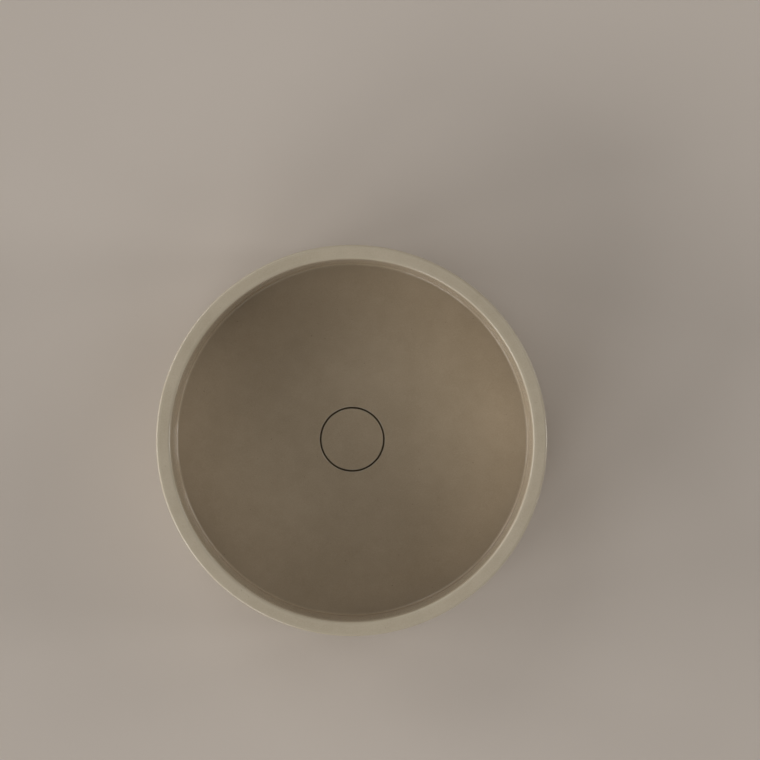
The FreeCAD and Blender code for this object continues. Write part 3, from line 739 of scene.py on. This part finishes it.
def make_bridge_tree():
    """Geometry Nodes tree that repeats one arm round the axis and adds the boss in the middle."""
    tree, given = new_tree("bridge_arms", "Boss", {
        "Arms": "Int", "Start": "Float", "Middle radius": "Float", "Middle level": "Float",
        "Arm size": "Vector", "Finish": "Material"}, "Bridge")
    bar = add_node(tree, "GeometryNodeMeshCube", inputs={
        "Size": given["Arm size"], "Vertices X": 2, "Vertices Y": 2, "Vertices Z": 2}).outputs["Mesh"]
    offset = add_node(tree, "ShaderNodeCombineXYZ", inputs={
        0: given["Middle radius"], 2: given["Middle level"]}).outputs[0]
    placed = add_node(tree, "GeometryNodeTransform", inputs={
        "Geometry": bar, "Translation": offset}).outputs[0]
    spots = add_node(tree, "GeometryNodeMeshLine", inputs={
        "Count": given["Arms"], "Offset": (0, 0, 0)}).outputs[0]
    number = add_node(tree, "GeometryNodeInputIndex").outputs[0]
    share = add_node(tree, "ShaderNodeMath", {"operation": "DIVIDE"}, {
        0: number, 1: given["Arms"]}).outputs[0]
    angle = add_node(tree, "ShaderNodeMath", {"operation": "MULTIPLY_ADD"}, {
        0: share, 1: 2 * math.pi, 2: given["Start"]}).outputs[0]
    heading = add_node(tree, "ShaderNodeCombineXYZ", inputs={2: angle}).outputs[0]
    arms = add_node(tree, "GeometryNodeInstanceOnPoints", inputs={
        "Points": spots, "Instance": placed, "Rotation": heading}).outputs[0]
    joined = add_node(tree, "GeometryNodeJoinGeometry", inputs={"Geometry": arms})
    set_inputs(tree, joined, {"Geometry": given["Boss"]})
    end_tree(tree, joined.outputs[0], given["Finish"], "Bridge")
    return tree


boss_outline = outline_mesh("bridge_boss_outline", [
    (BRIDGE_BORE, BRIDGE_BOTTOM), (BRIDGE_BOSS, BRIDGE_BOTTOM, BOSS_ROUND),
    (BRIDGE_BOSS, BRIDGE_TOP, BOSS_ROUND), (BRIDGE_BORE, BRIDGE_TOP)], BOSS_SPACING)
boss = shape_by_nodes("bridge_boss", boss_outline, turning_tree, {
    "Steps round": BOSS_STEPS, "Closed": 1, "Thread pitch": MM, "Wave length": MM, "Finish": cast_nickel})
arm_inner, arm_outer = (BRIDGE_BORE + BRIDGE_BOSS) / 2, (WATERWAY_RADIUS + TAIL_RADIUS) / 2
bridge = shape_by_nodes("waste_bridge", boss.data, make_bridge_tree(), {
    "Arms": ARM_COUNT, "Start": math.radians(ARM_START_DEGREES),
    "Middle radius": (arm_inner + arm_outer) / 2 * MM, "Middle level": (BRIDGE_TOP + BRIDGE_BOTTOM) / 2 * MM,
    "Arm size": ((arm_outer - arm_inner) * MM, ARM_WIDTH * MM, (BRIDGE_TOP - BRIDGE_BOTTOM) * MM),
    "Finish": cast_nickel})
bpy.data.objects.remove(boss)
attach(bridge, "basin")
print("bridge", len(bridge.data.polygons), "faces")

# %% [markdown]
# ## The barrel of the press cartridge
#
# The barrel is a brass tube with a collar. Below the collar it has a fine thread, which screws through the
# bridge and sets the height of the cover. It is turned and threaded like the waste body.

# %% Turn the barrel
BARREL_RADIUS, BARREL_BORE, BARREL_END_ROUND = 9.0, 7.0, 0.2
BARREL_COLLAR, COLLAR_TOP, COLLAR_ROUND = 11.0, 16.6, 0.3
FINE_PITCH, FINE_DEPTH, POINTS_PER_FINE_PITCH, FINE_LEAD, FINE_RELIEF = 1.25, 0.6, 8, 1, 0.5

barrel_low, barrel_high = levels_of("cartridge_barrel")
barrel_corners = [
    (BARREL_BORE, barrel_low),
    (BARREL_RADIUS, barrel_low),
    (BARREL_RADIUS, BRIDGE_TOP),
    (BARREL_COLLAR, BRIDGE_TOP, COLLAR_ROUND),
    (BARREL_COLLAR, COLLAR_TOP, COLLAR_ROUND),
    (BARREL_RADIUS, COLLAR_TOP),
    (BARREL_RADIUS, barrel_high, BARREL_END_ROUND),
    (BARREL_BORE, barrel_high),
]
turned_piece("cartridge_barrel_threaded", "cartridge_barrel", "basin", turned_brass,
             barrel_corners, spacing=FINE_PITCH / POINTS_PER_FINE_PITCH, steps=72, pitch=FINE_PITCH,
             depth=FINE_DEPTH, thread=(BARREL_RADIUS, barrel_low + FINE_LEAD, BRIDGE_TOP - FINE_RELIEF))

# %% [markdown]
# ## The return spring
#
# A coil spring in the barrel lifts the plunger. Its end turns lie closed, as on any compression spring, and
# the turns between them are evenly spaced. A tree winds it from a line, since a screw modifier would give all
# turns one pitch. The real spring lengthens as the cover rises.

# %% Wind the spring
COIL_RADIUS, WIRE_RADIUS, WIRE_SIDES = 6.0, 0.6, 12
SPRING_TURNS, CLOSED_PITCH, STEPS_PER_TURN = 7, 1.25, 40


def make_coil_tree():
    """Geometry Nodes tree that winds a compression spring with closed end turns round the Z axis."""
    tree, given = new_tree("compression_spring", "Start", {
        "Coil radius": "Float", "Wire radius": "Float", "Bottom": "Float", "Turns": "Float",
        "Closed pitch": "Float", "Open rise": "Float", "Points": "Int", "Finish": "Material"}, "Spring")
    line = add_node(tree, "GeometryNodeCurvePrimitiveLine").outputs[0]
    path = add_node(tree, "GeometryNodeResampleCurve", inputs={
        "Curve": line, "Count": given["Points"]}).outputs[0]
    along = add_node(tree, "GeometryNodeSplineParameter").outputs["Factor"]
    wound = add_node(tree, "ShaderNodeMath", {"operation": "MULTIPLY"}, {
        0: along, 1: given["Turns"]}).outputs[0]
    late = add_node(tree, "ShaderNodeMath", {"operation": "SUBTRACT"}, {0: given["Turns"], 1: 1.0}).outputs[0]
    level = given["Bottom"]
    for start, end, rise in ((0.0, 1.0, given["Closed pitch"]), (1.0, late, given["Open rise"]),
                             (late, given["Turns"], given["Closed pitch"])):
        climb = add_node(tree, "ShaderNodeMapRange", inputs={
            "Value": wound, "From Min": start, "From Max": end, "To Min": 0.0, "To Max": rise}).outputs[0]
        level = add_node(tree, "ShaderNodeMath", {"operation": "ADD"}, {0: level, 1: climb}).outputs[0]
    helix = add_node(tree, "GeometryNodeSetPosition", inputs={
        "Geometry": path, "Position": point_on_circle(tree, wound, given["Coil radius"], level)}).outputs[0]
    section = add_node(tree, "GeometryNodeCurvePrimitiveCircle", inputs={
        "Resolution": WIRE_SIDES, "Radius": given["Wire radius"]}).outputs[0]
    wire = add_node(tree, "GeometryNodeCurveToMesh", inputs={
        "Curve": helix, "Profile Curve": section, "Fill Caps": True}).outputs[0]
    end_tree(tree, wire, given["Finish"], "Spring")
    return tree


spring_low, spring_high = levels_of("return_spring")
coil_low, coil_high = spring_low + WIRE_RADIUS, spring_high - WIRE_RADIUS
spring = shape_by_nodes("return_spring_coil", bpy.data.meshes.new("spring_start"), make_coil_tree(), {
    "Coil radius": COIL_RADIUS * MM, "Wire radius": WIRE_RADIUS * MM, "Bottom": coil_low * MM,
    "Turns": float(SPRING_TURNS), "Closed pitch": CLOSED_PITCH * MM,
    "Open rise": (coil_high - coil_low - 2 * CLOSED_PITCH) * MM,
    "Points": SPRING_TURNS * STEPS_PER_TURN + 1, "Finish": drawn_steel})
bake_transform(spring)
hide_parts("return_spring")
print("spring", len(spring.data.polygons), "faces, from", round(coil_low, 2), "to", round(coil_high, 2), "mm")

# %% [markdown]
# ## Seals and gaskets
#
# Rubber rings have no sharp edges: the tool is rounded, and the rubber swells a little where it is clamped.
# They are turned from outlines with soft corners, inside the space that the CAD rings hold.

# %% Turn the rubber rings
RING_BORE, CLAMP_RADIUS, STEM_RING_RADIUS, TAIL_RING_RADIUS = 21.255, 32.255, 4.8, 15.5
SEAL_INNER, SEAL_OUTER, LIP_HEIGHT, LIP_WIDTH = 22.0, 28.0, 1.0, 1.4
LIP_ROUND, SEAL_SIDE_ROUND, SEAL_TOP_ROUND = 0.5, 0.3, 0.2
NOSE_PLAY, NOSE_WALL, NOSE_ROUND, NOSE_BORE_ROUND, CLAMP_ROUND = 0.3, 0.3, 0.3, 0.5, 0.9
GASKET_INSET, GASKET_BORE_ROUND, GASKET_EDGE_ROUND = 0.5, 0.4, 0.6


def round_section(node, middle_radius):
    """Corners of a ring of round section that fills the height of a CAD node."""
    low, high = levels_of(node)
    half = (high - low) / 2
    return [(middle_radius - half, low, half), (middle_radius + half, low, half),
            (middle_radius + half, high, half), (middle_radius - half, high, half)]


seal_low, seal_high = levels_of("plug_seal")
nose_low, nose_high = levels_of("tapered_gasket")
flat_low, flat_high = levels_of("flange_gasket")
gasket_edge = FLANGE_RADIUS - GASKET_INSET
rubber_rings = {
    "plug_seal": ("cover", [
        (SEAL_INNER, seal_low + LIP_HEIGHT, SEAL_SIDE_ROUND), (SEAL_INNER + LIP_WIDTH, seal_low, LIP_ROUND),
        (SEAL_OUTER - LIP_WIDTH, seal_low, LIP_ROUND), (SEAL_OUTER, seal_low + LIP_HEIGHT, SEAL_SIDE_ROUND),
        (SEAL_OUTER, seal_high, SEAL_TOP_ROUND), (SEAL_INNER, seal_high, SEAL_TOP_ROUND)]),
    "tapered_gasket": ("basin", [
        (RING_BORE, nose_low, NOSE_BORE_ROUND), (CLAMP_RADIUS, nose_low, CLAMP_ROUND),
        (CLAMP_RADIUS, RECESS_LEVEL, CLAMP_ROUND), (HOLE_RADIUS - NOSE_PLAY, RECESS_LEVEL, NOSE_ROUND),
        (RING_BORE + NOSE_WALL, nose_high), (RING_BORE, nose_high)]),
    "flange_gasket": ("basin", [
        (RING_BORE, flat_low, GASKET_BORE_ROUND), (gasket_edge, flat_low, GASKET_EDGE_ROUND),
        (gasket_edge, flat_high, GASKET_EDGE_ROUND), (RING_BORE, flat_high, GASKET_BORE_ROUND)]),
    "stem_o_ring": ("basin", round_section("stem_o_ring", STEM_RING_RADIUS)),
    "tailpiece_o_ring": ("basin", round_section("tailpiece_o_ring", TAIL_RING_RADIUS)),
}
for node, (body, corners) in rubber_rings.items():
    turned_piece(node + "_moulded", node, body, rubber, corners, spacing=1.5, steps=120)

# %% [markdown]
# ## Pieces that the CAD model already shapes
#
# The nuts, the washer, the outlet tube, the plunger and the small parts of the cartridge have their real
# shape in the CAD model. They only need their finish.

# %% Finish the CAD pieces
finish_of_node = {
    "cover_carrier": brushed_nickel, "plunger": brushed_nickel, "tailpiece": brushed_nickel,
    "back_nut": drawn_brass, "cartridge_lock_nut": drawn_brass, "barrel_end_plug": turned_brass,
    "guide_bush": white_acetal, "index_rotor": white_acetal, "slip_washer": white_acetal,
    "snap_ring": drawn_steel,
}
for node, finish in finish_of_node.items():
    for material_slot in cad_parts[node].material_slots:
        material_slot.material = finish
print("finished", len(finish_of_node), "CAD pieces")

# %% [markdown]
# ## The ground under the basin
#
# The basin stands on a plain pale ground of smooth plaster. It has a hole for the waste, hidden under the
# foot ring, and far away it turns up into a low edge, since a flat plane would end there in a hard line.

# %% Lay the ground
COUNTER_COLOUR, COUNTER_DARK = "#c6bcb2", "#c2b8ae"
COUNTER_CLOUD_MM, COUNTER_DETAIL, COUNTER_ROUGHNESS = 160, 3.0, 0.7
# radius and level in metres of each ring of corners, from the hole to the far edge
COUNTER_RINGS = ((0.05, 0.0), (0.6, 0.0), (3.0, 0.0), (11.0, 0.0), (11.8, 0.3), (12.0, 1.0), (12.0, 1.8))
COUNTER_STEPS = 128


def make_counter():
    """Ground with a hole under the basin and a rising far edge."""
    material, tree, shader, place = new_finish("pale_counter_plaster")
    clouds = add_node(tree, "ShaderNodeTexNoise", inputs={
        "Vector": place, "Scale": per_metre(COUNTER_CLOUD_MM), "Detail": COUNTER_DETAIL}).outputs["Fac"]
    tint = add_node(tree, "ShaderNodeMix", {"data_type": "RGBA"}, {
        0: clouds, 6: linear_colour(COUNTER_DARK), 7: linear_colour(COUNTER_COLOUR)}).outputs[2]
    set_inputs(tree, shader, {"Base Color": tint, "Roughness": COUNTER_ROUGHNESS})
    corners, faces = [], []
    for radius, level in COUNTER_RINGS:
        for step in range(COUNTER_STEPS):
            angle = 2 * math.pi * step / COUNTER_STEPS
            corners.append((radius * math.cos(angle), radius * math.sin(angle), level))
    for ring in range(len(COUNTER_RINGS) - 1):
        near, far = ring * COUNTER_STEPS, (ring + 1) * COUNTER_STEPS
        for step in range(COUNTER_STEPS):
            after = (step + 1) % COUNTER_STEPS
            faces.append((near + step, far + step, far + after, near + after))
    mesh = bpy.data.meshes.new("counter")
    mesh.from_pydata(corners, [], faces)
    mesh.materials.append(material)
    counter = bpy.data.objects.new("counter", mesh)
    scene.collection.objects.link(counter)
    print("ground", len(faces), "faces")


make_counter()

# %% [markdown]
# ## The light
#
# The light is that of a room with a wide window on the left: four soft suns side by side, low enough to leave
# the near wall of the bowl in shade and to reach the far wall and the right half of the floor. Three narrow
# ones from the right draw the thin lines on the left wall, and a softer one helps them. Two weak ones from
# behind and in front and an even sky fill the shadows. Area lamps would do the same, but suns stay even over
# the whole ground.

# %% Hang the lamps
# azimuth (0 right, 90 back, 180 left), elevation and spread in degrees, and strength of each lamp
LAMPS = (
    (150, 14, 25, 0.28), (180, 15, 25, 0.33), (210, 20, 25, 0.29), (240, 25, 25, 0.20),
    (0, 19, 12, 0.16), (20, 19, 8, 0.03), (340, 19, 8, 0.02), (30, 30, 25, 0.10),
    (120, 45, 25, 0.09), (300, 45, 25, 0.05),
)
SKY_COLOUR, SKY_STRENGTH = "#dcd8d2", 0.24


def add_lamp(azimuth, elevation, spread, strength):
    """Soft sun that shines from an azimuth and an elevation, in degrees, and is as wide as its spread."""
    lamp = bpy.data.lights.new("lamp_%d_%d" % (azimuth, elevation), "SUN")
    lamp.energy = strength * math.pi
    lamp.angle = math.radians(spread)
    holder = bpy.data.objects.new(lamp.name, lamp)
    holder.rotation_euler = (math.radians(90 - elevation), 0, math.radians(azimuth + 90))
    scene.collection.objects.link(holder)


for lamp_values in LAMPS:
    add_lamp(*lamp_values)
scene.world = bpy.data.worlds.new("studio")
scene.world.use_nodes = True
sky = scene.world.node_tree
set_inputs(sky, sky.nodes["Background"], {"Color": linear_colour(SKY_COLOUR), "Strength": SKY_STRENGTH})
print("lamps", len(LAMPS))
